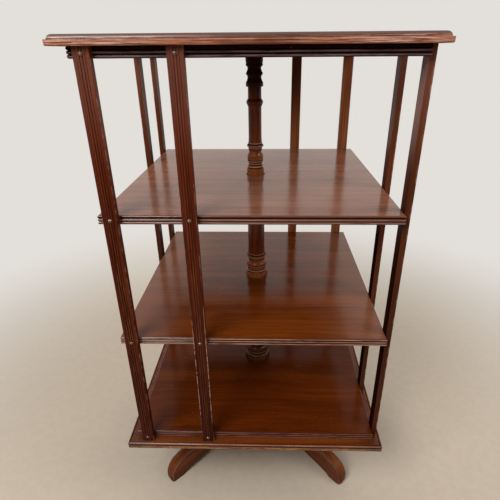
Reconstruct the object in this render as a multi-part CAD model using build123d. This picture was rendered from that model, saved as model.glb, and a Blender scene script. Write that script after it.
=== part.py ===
"""Revolving bookcase: three open tiers that turn about a fixed column on four legs.

Millimetres. The origin is on the floor under the column's centre, +Z is up and
the front is -Y. Two bodies: the base (legs, hub, column) stands still and the
case (boards, slats) turns about Z.
"""

from build123d import *
import os
from math import cos, radians, sin, sqrt

# Boards of the case
board_width = 566.0             # shelves and frieze board, measured over their reeds
frieze_thickness = 18.0
shelf_thickness = 18.0
top_overhang = 22.0             # how far the top stands out beyond the boards, on each side
top_width = board_width + 2 * top_overhang
top_thickness = 16.5
base_ledge = 20.5               # the same for the base board
base_board_width = board_width + 2 * base_ledge
base_board_thickness = 19.0
reeds_per_edge = 3
reed_projection = 2.4

# Clear heights, from the floor upwards
floor_to_case = 205.0
lower_tier = 263.0
middle_tier = 259.5
upper_tier = 263.0

# Top board moulding
ovolo_height = 7.5
ovolo_depth = 6.5
top_fillet_step = 3.5
top_under_radius = 2.0

# Base board moulding
ledge_bead_radius = 3.0
ledge_quirk = 1.2
base_band_setback = 0.8
base_under_radius = 4.0

# Slats, two on each side of the case
slat_width = 27.0
slat_thickness = 13.0
slat_reeds = 3
slat_reed_pitch = 4.6
slat_reed_height = 1.8
slat_margin_drop = 0.8
slat_arris_radius = 1.0
corner_slat_offset = 14.0       # board corner to the slat's near edge
inner_slat_offset = 159.0
slat_top_gap = 0.2

# Round-head screws through the slats
slat_screw_radius = 1.6
slat_screw_head_radius = 3.8
slat_screw_head_height = 2.4
slat_screw_grip = 16.0          # length inside the board
shelf_screw_drop = 5.5          # under the shelf's top
frieze_screw_rise = 7.0         # over the frieze board's underside
slot_width = 0.9
slot_depth = 1.0
slat_hole_clearance = 0.2
pilot_clearance = 0.05

# Countersunk screws: frieze board to top, base board to bottom shelf, plates
board_screw_radius = 2.0
board_screw_head_radius = 4.2
board_screw_bite = 10.0
board_screw_margin = 60.0
plate_screw_radius = 1.6
plate_screw_head_radius = 3.2
plate_screw_length = 15.0

# Column: one turning in three stages that diminish upwards
foot_radii = (33.4, 27.4, 20.4)
shaft_radii = (26.6, 21.2, 15.2)
foot_heights = (8.0, 8.0, 12.0)      # cylinder showing above each shelf
vase_heights = (22.0, 20.0, 27.0)
column_hole_clearance = 2.4
column_top_gap = 0.5
column_tenon_radius = 22.0
column_tenon_length = 110.0

# Mouldings of the column. Each step is how far out from the named radius, how far up from
# the named height, and the bulge on the way to it: out for a bead, in for a cove.
foot_moulding = (               # from the foot's radius and the rim over the shelf
    (0, 0, 0), (-1.2, 3.5, 1.0), (-3.4, 5.5, -0.7), (-3.4, 11, 1.9), (-5.0, 13.5, -0.5), (-4.4, 16, 0),
)
foot_moulding_height = 18.0
vase_belly = (-1.9, 0.42, 1.3)  # its height as a share of the vase's
neck_moulding = (               # from the shaft's radius and the vase's top
    (1.2, -5, 1.4), (-0.4, 0, -0.7), (0.9, 3, 0), (0.9, 8, 0), (1.9, 9, 0), (1.9, 16, 2.5),
    (1.1, 19, 0), (0, 36, -0.3),
)
neck_lines = (41.0, 47.0)
end_line = -46.0                # from the shelf above, where a lower stage closes
end_moulding = ((0, -36, 0), (0.6, -30, -0.3), (0.6, -20, 2.6), (0, -17, 0), (0, -10, 0))
end_step = (0, -6, 1.5)         # in to the next foot's radius
capital_height = 62.0
capital_line = -55.0            # from the capital's foot
capital_moulding = (
    (0, -45, 0), (1.6, -40, -0.3), (2.4, -38, 0), (2.4, -29, 1.5), (0.3, -26, 0), (0, -18, 0), (0, 0, 0),
    (4.0, 0, 0), (4.2, 8, 0.3), (0, 19, -0.6), (4.1, 26.5, -0.6), (-0.4, 38, -0.6),
    (4.0, 43.5, -0.5), (3.2, 49, -0.2), (4.1, 54, 0.3), (4.1, capital_height, 0),
)
line_depth = 0.7
line_width = 1.0

# Pivot at the top of the column
pivot_radius = 6.0
pivot_clearance = 0.05
pivot_shank = 45.0
pivot_reach = 12.0
pivot_end_gap = 0.3
pivot_chamfer = 1.0
socket_plate_size = 64.0
socket_plate_thickness = 3.0
socket_wall = 4.0
socket_screw_margin = 9.0

# Bearing ring and guide plate under the base board
ring_thickness = 3.0
ring_radius = 58.0
guide_plate_radius = 62.0
guide_clearance = 0.3
guide_screws = 6

# Hub
hub_bottom = 62.0
hub_block_width = 88.0
hub_block_height = 106.0
hub_collar_radius = 60.0
hub_collar_height = 12.0
hub_collar_arris = 2.0
hub_neck_radius = 41.0
hub_neck_height = 3.0           # upright part over the block, under the cove
hub_cove_depth = 4.5
mortise_clearance = 0.1

# Legs on the diagonals
leg_thickness = 30.0
toe_reach = 338.0               # from the column's axis to the tip of the toe
toe_plan_radius = 11.0
sole_length = 40.0              # flat under the toe
leg_root_height = 88.0
leg_seat_length = 42.0          # flat under the leg that takes the cross plate's arm
leg_tenon_length = 18.0
leg_tenon_thickness = 14.0
leg_tenon_height = 64.0
leg_bead_width = 4.6
leg_quirk_width = 1.0
leg_bead_radius = 1.6
leg_quirk_depth = leg_bead_radius + 1.0
sole_trim = 3.0                 # drawn below the floor, then cut level
toe_undercut = 7.0
toe_curve = (2.5, 2.0)          # the toe's front, inwards from its tip and up from the floor

# A leg's upper line, as shares of the way from hub to toe and heights
leg_crest = ((0.208, 108), (0.446, 80), (0.70, 66.5), (0.837, 61.5), (0.939, 48), (0.986, 26), (1.0, 9))
leg_crest_slopes = ((0.78, -0.62), (-0.12, -1))
# Its lower line, as shares of the way from hub to heel and heights
leg_hollow = ((1.0, 0), (0.945, 8), (0.752, 16.5), (0.516, 27), (0.319, 47))
leg_hollow_slopes = ((-0.5, 0.8), (-1, 0.12))

# Iron cross plate under the hub
cross_plate_reach = 82.0
cross_plate_width = 24.0
cross_plate_thickness = 3.0
cross_plate_screw_margin = 9.0  # from the arm's end, and from the hub's side

# Heights worked out from the sizes above
bottom_shelf_underside = floor_to_case + base_board_thickness
bottom_shelf_top = bottom_shelf_underside + shelf_thickness
middle_shelf_underside = bottom_shelf_top + lower_tier
middle_shelf_top = middle_shelf_underside + shelf_thickness
upper_shelf_underside = middle_shelf_top + middle_tier
upper_shelf_top = upper_shelf_underside + shelf_thickness
frieze_underside = upper_shelf_top + upper_tier
top_underside = frieze_underside + frieze_thickness
overall_height = top_underside + top_thickness
hub_top = floor_to_case - 2 * ring_thickness
overlap = 1.0                   # how far a cut or a joined piece runs on past a face
slat_plane = board_width / 2
slat_face = slat_plane + slat_thickness


def slab(plane, section, thickness):
    """Extrude a section drawn on a plane, half the thickness to each side of it."""
    return extrude(plane.offset(-thickness / 2) * section, thickness)


def square_board(edge, underside):
    """A square board whose edge moulding, drawn at +X from below, mitres at the corners."""
    first = edge[0] @ 0
    last = edge[-1] @ 1
    outline = [Line((0, 0), first), *edge, Line(last, (0, last.Y)), Line((0, last.Y), (0, 0))]
    half_section = make_face(outline)
    section = half_section + mirror(half_section, about=Plane.YZ)
    reach = 2 * top_width
    mitred = slab(Plane.YZ, section, reach) & slab(Plane.XZ, section, reach)
    return Pos(0, 0, underside) * mitred


def reeded_board(thickness, underside):
    """A shelf or frieze board with equal reeds round its edge."""
    crest = board_width / 2
    valley = crest - reed_projection
    pitch = thickness / reeds_per_edge
    edge = []
    for i in range(reeds_per_edge):
        start = (valley, i * pitch)
        middle = (crest, (i + 0.5) * pitch)
        end = (valley, (i + 1) * pitch)
        edge.append(ThreePointArc(start, middle, end))
    return square_board(edge, underside)


def column_hole(board, radius, underside, thickness):
    """Cut the clearance hole that the column passes through."""
    hole = Cylinder(radius, thickness + 2 * overlap, align=(Align.CENTER, Align.CENTER, Align.MIN))
    return board - Pos(0, 0, underside - overlap) * hole


def slat_places():
    """Turn and left edge of each slat: two to a side, the same seen from every side."""
    sides = ("front", "right", "back", "left")
    for quarter, side in enumerate(sides):
        yield f"{side}_corner_slat", 90 * quarter, -slat_plane + corner_slat_offset
        yield f"{side}_inner_slat", 90 * quarter, -slat_plane + inner_slat_offset


def slat_screw_heights():
    """The height of the slat screws in each board, by the board's name."""
    return {
        "bottom": bottom_shelf_top - shelf_screw_drop,
        "middle": middle_shelf_top - shelf_screw_drop,
        "upper": upper_shelf_top - shelf_screw_drop,
        "frieze": frieze_underside + frieze_screw_rise,
    }


def slat_screw_axes(height):
    """Places on the slats' outer face, each looking inwards along its own +Z."""
    axes = []
    for _, turn, left in slat_places():
        centre = left + slat_width / 2
        facing_in = Plane(origin=(centre, -slat_face, height), x_dir=(1, 0, 0), z_dir=(0, 1, 0))
        axes.append(Rot(0, 0, turn) * facing_in.location)
    return axes


def pilot_holes(board, height):
    """Drill a board's edge for the slat screws."""
    depth = slat_thickness + slat_screw_grip + pilot_clearance
    drill = Cylinder(slat_screw_radius + pilot_clearance, depth,
                     align=(Align.CENTER, Align.CENTER, Align.MIN))
    drills = [place * drill for place in slat_screw_axes(height)]
    return board - drills


def round_head_screw():
    """A slotted round-head screw along +Z, with its head below Z = 0."""
    sphere_radius = (slat_screw_head_radius ** 2 / slat_screw_head_height + slat_screw_head_height) / 2
    dome = Pos(0, 0, sphere_radius - slat_screw_head_height) * Sphere(sphere_radius)
    keep = Pos(0, 0, -slat_screw_head_height) * Cylinder(
        slat_screw_head_radius + overlap, slat_screw_head_height,
        align=(Align.CENTER, Align.CENTER, Align.MIN))
    head = dome & keep
    slot = Pos(0, 0, -slat_screw_head_height) * Box(
        3 * slat_screw_head_radius, slot_width, 2 * slot_depth)
    shank = Cylinder(slat_screw_radius, slat_thickness + slat_screw_grip,
                     align=(Align.CENTER, Align.CENTER, Align.MIN))
    return (head - slot) + shank


def countersunk_screw(radius, head_radius, length):
    """A slotted flat-head screw along +Z, its head flush with Z = 0."""
    cone_height = head_radius - radius
    cone = Cone(head_radius, radius, cone_height, align=(Align.CENTER, Align.CENTER, Align.MIN))
    shank = Cylinder(radius, length, align=(Align.CENTER, Align.CENTER, Align.MIN))
    slot = Box(3 * head_radius, slot_width, 2 * slot_depth)
    return (cone + shank) - slot


def countersunk_hole(radius, head_radius, length):
    """The hole that the same screw fills, a pilot clearance larger."""
    grow = pilot_clearance
    cone_height = head_radius - radius
    cone = Cone(head_radius + grow, radius + grow, cone_height,
                align=(Align.CENTER, Align.CENTER, Align.MIN))
    shank = Cylinder(radius + grow, length + grow, align=(Align.CENTER, Align.CENTER, Align.MIN))
    return cone + shank


def board_screw_places(underside):
    """Eight places round a board, near its edges and corners."""
    places = []
    spread = board_width / 2 - board_screw_margin
    for x in (-spread, 0, spread):
        for y in (-spread, 0, spread):
            if (x, y) != (0, 0):
                places.append(Pos(x, y, underside))
    return places


def ring_screw_places(radius, count, height, first_angle=0.0):
    """Places evenly round the column's axis."""
    angles = [first_angle + 360 * i / count for i in range(count)]
    return [Pos(radius * cos(radians(a)), radius * sin(radians(a)), height) for a in angles]


def quarter_round(start, corner, end):
    """An arc from start to end that rounds the corner between them."""
    share = 1 - sqrt(0.5)
    middle = tuple(c + share * (s + e - 2 * c) for s, c, e in zip(start, corner, end))
    return ThreePointArc(start, middle, end)


# Top board
def make_top_board():
    half = top_width / 2
    shoulder = half - top_fillet_step
    shoulder_height = top_thickness - ovolo_height
    edge = [
        quarter_round((half - top_under_radius, 0), (half, 0), (half, top_under_radius)),
        Line((half, top_under_radius), (half, shoulder_height)),
        Line((half, shoulder_height), (shoulder, shoulder_height)),
        quarter_round((shoulder, shoulder_height), (shoulder, top_thickness),
                      (shoulder - ovolo_depth, top_thickness)),
    ]
    board = square_board(edge, top_underside)
    drill = countersunk_hole(board_screw_radius, board_screw_head_radius,
                             frieze_thickness + board_screw_bite)
    return board - [place * drill for place in board_screw_places(frieze_underside)]


# Frieze board under the top, with the pivot socket let into its underside
def make_frieze_board():
    board = reeded_board(frieze_thickness, frieze_underside)
    board = pilot_holes(board, slat_screw_heights()["frieze"])
    drill = countersunk_hole(board_screw_radius, board_screw_head_radius,
                             frieze_thickness + board_screw_bite)
    board = board - [place * drill for place in board_screw_places(frieze_underside)]
    recess = Box(socket_plate_size, socket_plate_size, socket_plate_thickness,
                 align=(Align.CENTER, Align.CENTER, Align.MIN))
    cup = Cylinder(pivot_radius + socket_wall, pivot_reach + socket_wall,
                   align=(Align.CENTER, Align.CENTER, Align.MIN))
    board = board - Pos(0, 0, frieze_underside) * recess
    board = board - Pos(0, 0, frieze_underside) * cup
    screw = countersunk_hole(plate_screw_radius, plate_screw_head_radius, plate_screw_length)
    return board - [place * screw for place in socket_screw_places()]


def socket_screw_places():
    spread = socket_plate_size / 2 - socket_screw_margin
    corners = [(x, y) for x in (-spread, spread) for y in (-spread, spread)]
    return [Pos(x, y, frieze_underside) for x, y in corners]


def make_socket_plate():
    """The plate and cup that turn on the pivot pin."""
    plate = Box(socket_plate_size, socket_plate_size, socket_plate_thickness,
                align=(Align.CENTER, Align.CENTER, Align.MIN))
    cup = Cylinder(pivot_radius + socket_wall, pivot_reach + socket_wall,
                   align=(Align.CENTER, Align.CENTER, Align.MIN))
    bore = Cylinder(pivot_radius + pivot_clearance, pivot_reach,
                    align=(Align.CENTER, Align.CENTER, Align.MIN))
    socket = Pos(0, 0, frieze_underside) * (plate + cup - bore)
    screw = countersunk_hole(plate_screw_radius, plate_screw_head_radius, plate_screw_length)
    return socket - [place * screw for place in socket_screw_places()]


# Shelves
def make_shelf(level, underside, foot_radius):
    board = reeded_board(shelf_thickness, underside)
    board = pilot_holes(board, slat_screw_heights()[level])
    return column_hole(board, foot_radius + column_hole_clearance, underside, shelf_thickness)


def make_bottom_shelf():
    board = make_shelf("bottom", bottom_shelf_underside, foot_radii[0])
    drill = countersunk_hole(board_screw_radius, board_screw_head_radius,
                             base_board_thickness + board_screw_bite)
    return board - [place * drill for place in board_screw_places(floor_to_case)]


# Base board
def make_base_board():
    half = base_board_width / 2
    band = half - base_band_setback
    bead_bottom = base_board_thickness - 2 * ledge_bead_radius
    bead_inner = half - ledge_bead_radius
    edge = [
        quarter_round((band - base_under_radius, 0), (band, 0), (band, base_under_radius)),
        Line((band, base_under_radius), (band, bead_bottom - ledge_quirk)),
        Line((band, bead_bottom - ledge_quirk), (bead_inner, bead_bottom)),
        ThreePointArc((bead_inner, bead_bottom), (half, bead_bottom + ledge_bead_radius),
                      (bead_inner, base_board_thickness)),
        Line((bead_inner, base_board_thickness),
             (bead_inner - ledge_quirk, base_board_thickness - ledge_quirk)),
        Line((bead_inner - ledge_quirk, base_board_thickness - ledge_quirk),
             (bead_inner - 2 * ledge_quirk, base_board_thickness)),
    ]
    board = square_board(edge, floor_to_case)
    board = column_hole(board, foot_radii[0] + column_hole_clearance, floor_to_case, base_board_thickness)
    drill = countersunk_hole(board_screw_radius, board_screw_head_radius,
                             base_board_thickness + board_screw_bite)
    board = board - [place * drill for place in board_screw_places(floor_to_case)]
    screw = countersunk_hole(plate_screw_radius, plate_screw_head_radius, plate_screw_length)
    return board - [place * screw for place in guide_screw_places()]


# Slats
def slat_section():
    """Across the slat: flat margins either side of the reeds, outer face at -Y."""
    half = slat_width / 2
    reed_start = -slat_reeds * slat_reed_pitch / 2
    valley = -(slat_thickness - slat_reed_height)
    crest = -slat_thickness
    margin = -(slat_thickness - slat_margin_drop)
    points = [(reed_start, margin), (-half + slat_arris_radius, margin)]
    arris = [
        Line(*points),
        RadiusArc(points[1], (-half, margin + slat_arris_radius), slat_arris_radius),
        Line((-half, margin + slat_arris_radius), (-half, 0)),
    ]
    left = [Line((reed_start, valley), (reed_start, margin)), *arris]
    right = [mirror(line, about=Plane.YZ) for line in left]
    reeds = []
    for i in range(slat_reeds):
        start = reed_start + i * slat_reed_pitch
        reeds.append(ThreePointArc((start, valley), (start + slat_reed_pitch / 2, crest),
                                   (start + slat_reed_pitch, valley)))
    back = Line((-half, 0), (half, 0))
    return make_face([*left, *right, *reeds, back])


def make_slat(turn, left):
    height = top_underside - slat_top_gap - bottom_shelf_underside
    blank = extrude(slat_section(), height)
    centre = left + slat_width / 2
    slat = Pos(centre, -slat_plane, bottom_shelf_underside) * blank
    drill = Cylinder(slat_screw_radius + slat_hole_clearance, slat_thickness,
                     align=(Align.CENTER, Align.CENTER, Align.MIN))
    for height in slat_screw_heights().values():
        facing_in = Plane(origin=(centre, -slat_face, height), x_dir=(1, 0, 0), z_dir=(0, 1, 0))
        slat = slat - facing_in.location * drill
    return Rot(0, 0, turn) * slat


# Column
def turned(steps):
    """Revolve an outline of (radius, height, bulge) steps; bulge is out for a bead, in for a cove."""
    edges = []
    for (r0, z0, _), (r1, z1, bulge) in zip(steps, steps[1:]):
        if bulge == 0:
            edges.append(Line((r0, z0), (r1, z1)))
            continue
        chord = sqrt((r1 - r0) ** 2 + (z1 - z0) ** 2)
        middle = ((r0 + r1) / 2 + bulge * (z1 - z0) / chord,
                  (z0 + z1) / 2 - bulge * (r1 - r0) / chord)
        edges.append(ThreePointArc((r0, z0), middle, (r1, z1)))
    return revolve(Plane.XZ * make_face(edges), Axis.Z)


def moulding(steps, radius, height):
    """Place a moulding's steps on a radius and a height."""
    return [(radius + out, height + up, bulge) for out, up, bulge in steps]


def incised_line(radius, height):
    half = line_width / 2
    return moulding(((0, -half, 0), (-line_depth, 0, 0), (0, half, 0)), radius, height)


def stage_steps(foot, shaft, shelf, foot_height, vase):
    """The turning that rises from each shelf: foot, rings, vase, ring and the start of the shaft."""
    rim = shelf + foot_height
    neck = rim + foot_moulding_height + vase
    belly_out, belly_share, belly_bulge = vase_belly
    belly = rim + foot_moulding[-1][1] + belly_share * vase
    steps = moulding(foot_moulding, foot, rim)
    steps.append((foot + belly_out, belly, belly_bulge))
    steps += moulding(neck_moulding, shaft, neck)
    for line in neck_lines:
        steps += incised_line(shaft, neck + line)
    return steps


def stage_end_steps(shaft, next_foot, underside):
    """The ring that closes a lower stage under the shelf, and the step in to the next foot."""
    line = incised_line(shaft, underside + end_line)
    return line + moulding(end_moulding, shaft, underside) + moulding([end_step], next_foot, underside)


def capital_steps(shaft, top):
    """The ring, the sharp beads and the block at the top of the column."""
    foot = top - capital_height
    return incised_line(shaft, foot + capital_line) + moulding(capital_moulding, shaft, foot)


def make_column():
    top = frieze_underside - column_top_gap
    low_end = hub_top - column_tenon_length
    steps = [(0, low_end, 0), (column_tenon_radius, low_end, 0),
             (column_tenon_radius, hub_top, 0), (foot_radii[0], hub_top, 0)]
    shelves = (bottom_shelf_top, middle_shelf_top, upper_shelf_top)
    undersides = (middle_shelf_underside, upper_shelf_underside)
    for i, shelf in enumerate(shelves):
        steps += stage_steps(foot_radii[i], shaft_radii[i], shelf, foot_heights[i], vase_heights[i])
        if i < len(undersides):
            steps += stage_end_steps(shaft_radii[i], foot_radii[i + 1], undersides[i])
    steps += capital_steps(shaft_radii[-1], top)
    steps += [(0, top, 0), (0, low_end, 0)]
    column = turned(steps)
    bore = Cylinder(pivot_radius, pivot_shank, align=(Align.CENTER, Align.CENTER, Align.MAX))
    return column - Pos(0, 0, top) * bore


def make_pivot_pin():
    top = frieze_underside - column_top_gap
    length = pivot_shank + column_top_gap + pivot_reach - pivot_end_gap
    pin = Cylinder(pivot_radius, length, align=(Align.CENTER, Align.CENTER, Align.MIN))
    pin = chamfer(pin.edges().group_by(Axis.Z)[-1], pivot_chamfer)
    return Pos(0, 0, top - pivot_shank) * pin


# Bearing under the case
def guide_screw_places():
    radius = (foot_radii[0] + column_hole_clearance + guide_plate_radius) / 2
    return ring_screw_places(radius, guide_screws, floor_to_case - ring_thickness)


def make_guide_plate():
    """Iron ring screwed under the base board; it turns round the column's foot."""
    ring = Cylinder(guide_plate_radius, ring_thickness, align=(Align.CENTER, Align.CENTER, Align.MIN))
    bore = Cylinder(foot_radii[0] + guide_clearance, ring_thickness,
                    align=(Align.CENTER, Align.CENTER, Align.MIN))
    plate = Pos(0, 0, floor_to_case - ring_thickness) * (ring - bore)
    screw = countersunk_hole(plate_screw_radius, plate_screw_head_radius, plate_screw_length)
    return plate - [place * screw for place in guide_screw_places()]


def make_bearing_ring():
    """Loose brass ring on the hub that the case's weight turns on."""
    ring = Cylinder(ring_radius, ring_thickness, align=(Align.CENTER, Align.CENTER, Align.MIN))
    bore = Cylinder(foot_radii[0] + guide_clearance, ring_thickness,
                    align=(Align.CENTER, Align.CENTER, Align.MIN))
    return Pos(0, 0, hub_top) * (ring - bore)


# Hub and legs
def leg_turns():
    return {"front_left": 225, "front_right": 315, "back_right": 45, "back_left": 135}


def make_hub():
    """A square block, set on the diagonals, under a turned neck and collar."""
    block = Rot(0, 0, 45) * Box(hub_block_width, hub_block_width, hub_block_height,
                                align=(Align.CENTER, Align.CENTER, Align.MIN))
    block = Pos(0, 0, hub_bottom) * block
    block_top = hub_bottom + hub_block_height
    neck_start = block_top - overlap
    collar_bottom = hub_top - hub_collar_height
    collar_face = hub_collar_radius - hub_collar_arris
    steps = [
        (0, neck_start, 0),
        (hub_neck_radius, neck_start, 0),
        (hub_neck_radius, block_top + hub_neck_height, 0),
        (collar_face, collar_bottom, -hub_cove_depth),
        (hub_collar_radius, collar_bottom + hub_collar_arris, 0),
        (hub_collar_radius, hub_top - hub_collar_arris, 0),
        (collar_face, hub_top, 0),
        (0, hub_top, 0),
        (0, neck_start, 0),
    ]
    hub = block + turned(steps)
    bore = Cylinder(column_tenon_radius, column_tenon_length, align=(Align.CENTER, Align.CENTER, Align.MAX))
    hub = hub - Pos(0, 0, hub_top) * bore
    mortise = Box(leg_tenon_length + mortise_clearance, leg_tenon_thickness + 2 * mortise_clearance,
                  leg_tenon_height + 2 * mortise_clearance, align=(Align.MAX, Align.CENTER, Align.CENTER))
    mortise = Pos(hub_block_width / 2, 0, leg_tenon_centre()) * mortise
    hub = hub - [Rot(0, 0, turn) * mortise for turn in leg_turns().values()]
    drill = countersunk_hole(plate_screw_radius, plate_screw_head_radius, plate_screw_length)
    return hub - [place * drill for place in cross_plate_screw_places()]


def leg_tenon_centre():
    return hub_bottom + leg_root_height / 2


def leg_profile(sunk=0.0):
    """Side view of a leg, reach along X and height along Y, its upper line sunk by some amount."""
    root = hub_block_width / 2
    root_top = hub_bottom + leg_root_height - sunk
    seat_end = root + leg_seat_length
    toe = toe_reach - sunk
    heel = toe_reach - sole_length
    crest_points = [(root + share * (toe_reach - root) - sunk, height - sunk) for share, height in leg_crest]
    crest = Spline((root, root_top), *crest_points, tangents=leg_crest_slopes)
    hollow_points = [(root + share * (heel - root), height) for share, height in leg_hollow]
    hollow = Spline(*hollow_points, (seat_end, hub_bottom), tangents=leg_hollow_slopes)
    outline = [
        crest,
        ThreePointArc(crest @ 1, (toe - toe_curve[0], toe_curve[1]), (toe - toe_undercut, -sole_trim)),
        Line((toe - toe_undercut, -sole_trim), (heel, -sole_trim)),
        Line((heel, -sole_trim), (heel, 0)),
        hollow,
        Line((seat_end, hub_bottom), (root, hub_bottom)),
        Line((root, hub_bottom), (root, root_top)),
    ]
    return make_face(outline)


def make_leg(turn):
    """A leg in layers: a plain core, and beside a quirk a bead along each upper arris."""
    profile = leg_profile()
    core_thickness = leg_thickness - 2 * (leg_bead_width + leg_quirk_width)
    leg = slab(Plane.XZ, profile, core_thickness)
    quirk = slab(Plane.XZ, leg_profile(leg_quirk_depth), leg_quirk_width)
    bead = slab(Plane.XZ, profile, leg_bead_width)
    curved = bead.edges().filter_by(lambda edge: edge.geom_type != GeomType.LINE)
    bead = fillet([edge for edge in curved if (edge @ 0.5).Z > hub_bottom / 2], leg_bead_radius)
    for side in (-1, 1):
        leg = leg + Pos(0, side * (core_thickness + leg_quirk_width) / 2, 0) * quirk
        leg = leg + Pos(0, side * (leg_thickness - leg_bead_width) / 2, 0) * bead
    # the toe is rounded in plan and the sole cut level with the floor
    toe_plan = Rectangle(toe_reach + toe_plan_radius, leg_thickness, align=(Align.MIN, Align.CENTER))
    toe_plan = Pos(-toe_plan_radius, 0) * fillet(toe_plan.vertices(), toe_plan_radius)
    leg = leg & extrude(toe_plan, hub_top)
    tenon = Box(leg_tenon_length, leg_tenon_thickness, leg_tenon_height,
                align=(Align.MAX, Align.CENTER, Align.CENTER))
    leg = leg + Pos(hub_block_width / 2, 0, leg_tenon_centre()) * tenon
    leg = Rot(0, 0, turn) * leg
    drill = countersunk_hole(plate_screw_radius, plate_screw_head_radius, plate_screw_length)
    return leg - [place * drill for place in cross_plate_screw_places()]


def cross_plate_screw_places():
    """Four screws into the hub and one into each leg, from under the plate."""
    height = hub_bottom - cross_plate_thickness
    in_legs = ring_screw_places(cross_plate_reach - cross_plate_screw_margin, 4, height, 45)
    in_hub = ring_screw_places(hub_block_width / 2 - cross_plate_screw_margin, 4, height, 45)
    return in_hub + in_legs


def make_cross_plate():
    arm = Box(2 * cross_plate_reach, cross_plate_width, cross_plate_thickness,
              align=(Align.CENTER, Align.CENTER, Align.MAX))
    plate = Pos(0, 0, hub_bottom) * (Rot(0, 0, 45) * arm + Rot(0, 0, 135) * arm)
    drill = countersunk_hole(plate_screw_radius, plate_screw_head_radius, plate_screw_length)
    return plate - [place * drill for place in cross_plate_screw_places()]


def placed(screw, places):
    """Identical screws, each its own solid, kept as one group."""
    return Compound(children=[place * screw for place in places])


def build_nodes():
    nodes = {
        "top_board": make_top_board(),
        "frieze_board": make_frieze_board(),
        "upper_shelf": make_shelf("upper", upper_shelf_underside, foot_radii[2]),
        "middle_shelf": make_shelf("middle", middle_shelf_underside, foot_radii[1]),
        "bottom_shelf": make_bottom_shelf(),
        "base_board": make_base_board(),
    }
    for name, turn, left in slat_places():
        nodes[name] = make_slat(turn, left)
    for level, height in slat_screw_heights().items():
        nodes[f"{level}_slat_screws"] = placed(round_head_screw(), slat_screw_axes(height))
    top_screw = countersunk_screw(board_screw_radius, board_screw_head_radius,
                                  frieze_thickness + board_screw_bite)
    base_screw = countersunk_screw(board_screw_radius, board_screw_head_radius,
                                   base_board_thickness + board_screw_bite)
    plate_screw = countersunk_screw(plate_screw_radius, plate_screw_head_radius, plate_screw_length)
    nodes["top_board_screws"] = placed(top_screw, board_screw_places(frieze_underside))
    nodes["base_board_screws"] = placed(base_screw, board_screw_places(floor_to_case))
    nodes["socket_plate"] = make_socket_plate()
    nodes["socket_plate_screws"] = placed(plate_screw, socket_screw_places())
    nodes["guide_plate"] = make_guide_plate()
    nodes["guide_plate_screws"] = placed(plate_screw, guide_screw_places())
    nodes["bearing_ring"] = make_bearing_ring()
    nodes["column"] = make_column()
    nodes["pivot_pin"] = make_pivot_pin()
    nodes["hub"] = make_hub()
    for corner, turn in leg_turns().items():
        nodes[f"{corner}_leg"] = make_leg(turn)
    nodes["cross_plate"] = make_cross_plate()
    nodes["cross_plate_screws"] = placed(plate_screw, cross_plate_screw_places())
    return nodes


os.makedirs("parts", exist_ok=True)
for node_name, shape in build_nodes().items():
    export_step(shape, f"parts/{node_name}.step")
print("overall height", overall_height)
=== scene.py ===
"""Looks of the revolving bookcase: camera, stage, light and procedural materials.

Metres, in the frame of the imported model: the floor is Z = 0 and the front is -Y.
"""

import math

import bmesh
import bpy
from mathutils import Matrix, Vector


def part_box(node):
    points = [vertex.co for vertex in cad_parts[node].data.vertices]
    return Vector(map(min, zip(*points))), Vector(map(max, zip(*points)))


# Camera
CAMERA_PLACE = (0.0345, -0.9766, 1.0723)
CAMERA_PITCH = math.radians(25.214)      # below the horizon
CAMERA_YAW = math.radians(-1.538)
CAMERA_ROLL = math.radians(-0.461)
CAMERA_LENS, SENSOR_WIDTH = 29.375, 36   # mm
CAMERA_SHIFT = (-0.01896, -0.01349)

# Stage
FLOOR_RADIUS, MIDDLE_RING = 3.2, 1.5
COVE_RADIUS = 0.8
BACKDROP_HEIGHT = 3.0
COVE_STEPS, ROUND_STEPS = 12, 96
FLOOR_COLOUR = (0.46, 0.39, 0.31)
SPECKLE_SHARE = 0.94                     # of the floor's colour, in its darker speckles
BACKDROP_COLOUR = (0.77, 0.74, 0.70)
GLOW = (0.60, 1.8)                       # how far out the floor goes over into the backdrop
MIRRORED_DEPTH = (-0.8, 0.4)             # Y over which the polish comes to mirror the backdrop

# Light
SKY_COLOUR = (1.0, 0.985, 0.96)
SKY_STRENGTH = 0.42
# Place, aim, size, watts, and whether the polish mirrors it: the bounce stands for light off a
# wall and shows in no polish.
SOFTBOXES = {
    "key": ((-1.2, -1.8, 2.5), (0, 0, 0.7), (1.4, 1.2), 75, True),
    "fill": ((2.0, -0.9, 2.2), (0, 0, 0.6), (1.2, 1.2), 28, True),
    "bounce": ((0.1, 2.0, 1.9), (0, 0, 0.7), (2.4, 1.2), 40, False),
}

# Mahogany, from its dark streaks to its light ones
RED_MAHOGANY = ((0.026, 0.0036, 0.0016), (0.078, 0.0130, 0.0046), (0.140, 0.031, 0.011))
# Pale tones that paint light on the slats' edges and inner faces
PALE_MAHOGANY = ((0.280, 0.085, 0.030), (0.480, 0.170, 0.066))
LEG_MAHOGANY = ((0.055, 0.0115, 0.0020), (0.142, 0.0320, 0.0046), (0.230, 0.0640, 0.0125))
# The upper shelf's tones are a lighter copy of the shelf mahogany and the bottom shelf's a darker
# one: painted light and shade.
UPPER_MAHOGANY = ((0.100, 0.0340, 0.0190), (0.200, 0.0740, 0.0400), (0.290, 0.122, 0.070))
SHELF_MAHOGANY = ((0.046, 0.0080, 0.0010), (0.103, 0.0205, 0.0020), (0.160, 0.041, 0.0055))
BOTTOM_MAHOGANY = ((0.034, 0.0055, 0.0008), (0.074, 0.0130, 0.0012), (0.118, 0.027, 0.0032))
COLUMN_MAHOGANY = ((0.055, 0.0085, 0.0018), (0.165, 0.0340, 0.0064), (0.285, 0.084, 0.022))
TOP_MAHOGANY = ((0.130, 0.034, 0.0150), (0.310, 0.096, 0.0450), (0.460, 0.175, 0.092))
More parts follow.
